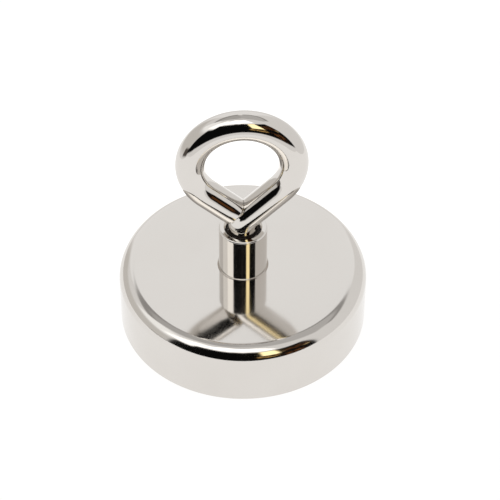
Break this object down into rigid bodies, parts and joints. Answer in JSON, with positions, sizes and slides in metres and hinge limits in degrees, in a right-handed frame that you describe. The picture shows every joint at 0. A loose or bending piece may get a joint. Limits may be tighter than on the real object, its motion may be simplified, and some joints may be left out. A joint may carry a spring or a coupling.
{
  "type": "pot magnet with eyebolt",
  "caption": "Round pot magnet with a threaded bush and a bent-rod eyebolt that screws out, for magnet fishing.",
  "frame": {"origin": "centre of the working face, in the plane of the steel rim", "axes": "+Z along the axis from the working face towards the eye, X across the eye, Y through the eye's hole"},
  "size_m": [0.067, 0.067, 0.0714],
  "materials": {
    "pot_nickel": "bright nickel plate over turned steel",
    "bush_nickel": "bright nickel plate over turned steel",
    "eye_nickel": "bright nickel plate over bent rod",
    "magnet_nickel": "dull nickel plate over sintered neodymium",
    "spacer_nylon": "moulded black nylon",
    "bond_glue": "cured clear adhesive",
    "seal_resin": "poured dark grey resin",
    "lock_resin": "cured brown thread-lock"
  },
  "bodies": {
    "pot": {"pot_shell": "pot_nickel", "threaded_bush": "bush_nickel", "magnet_disc": "magnet_nickel", "spacer_ring": "spacer_nylon", "bond_layer": "bond_glue", "seal_ring": "seal_resin"},
    "lift": {"thread_lock_ring": "lock_resin"},
    "eye": {"eyebolt": "eye_nickel"}
  },
  "joints": [
    {"name": "eyebolt_lift", "type": "slide", "parent": "pot", "child": "lift", "axis": [0, 0, 1], "range_m": [0, 0.0175]},
    {"name": "eyebolt_turn", "type": "hinge", "parent": "lift", "child": "eye", "pos_m": [0, 0, 0.02], "axis": [0, 0, 1], "range_deg": [0, 5041]}
  ],
  "couplings": [
    {"joint": "eyebolt_turn", "follows": "eyebolt_lift", "rad_per_m": 5026.5}
  ]
}
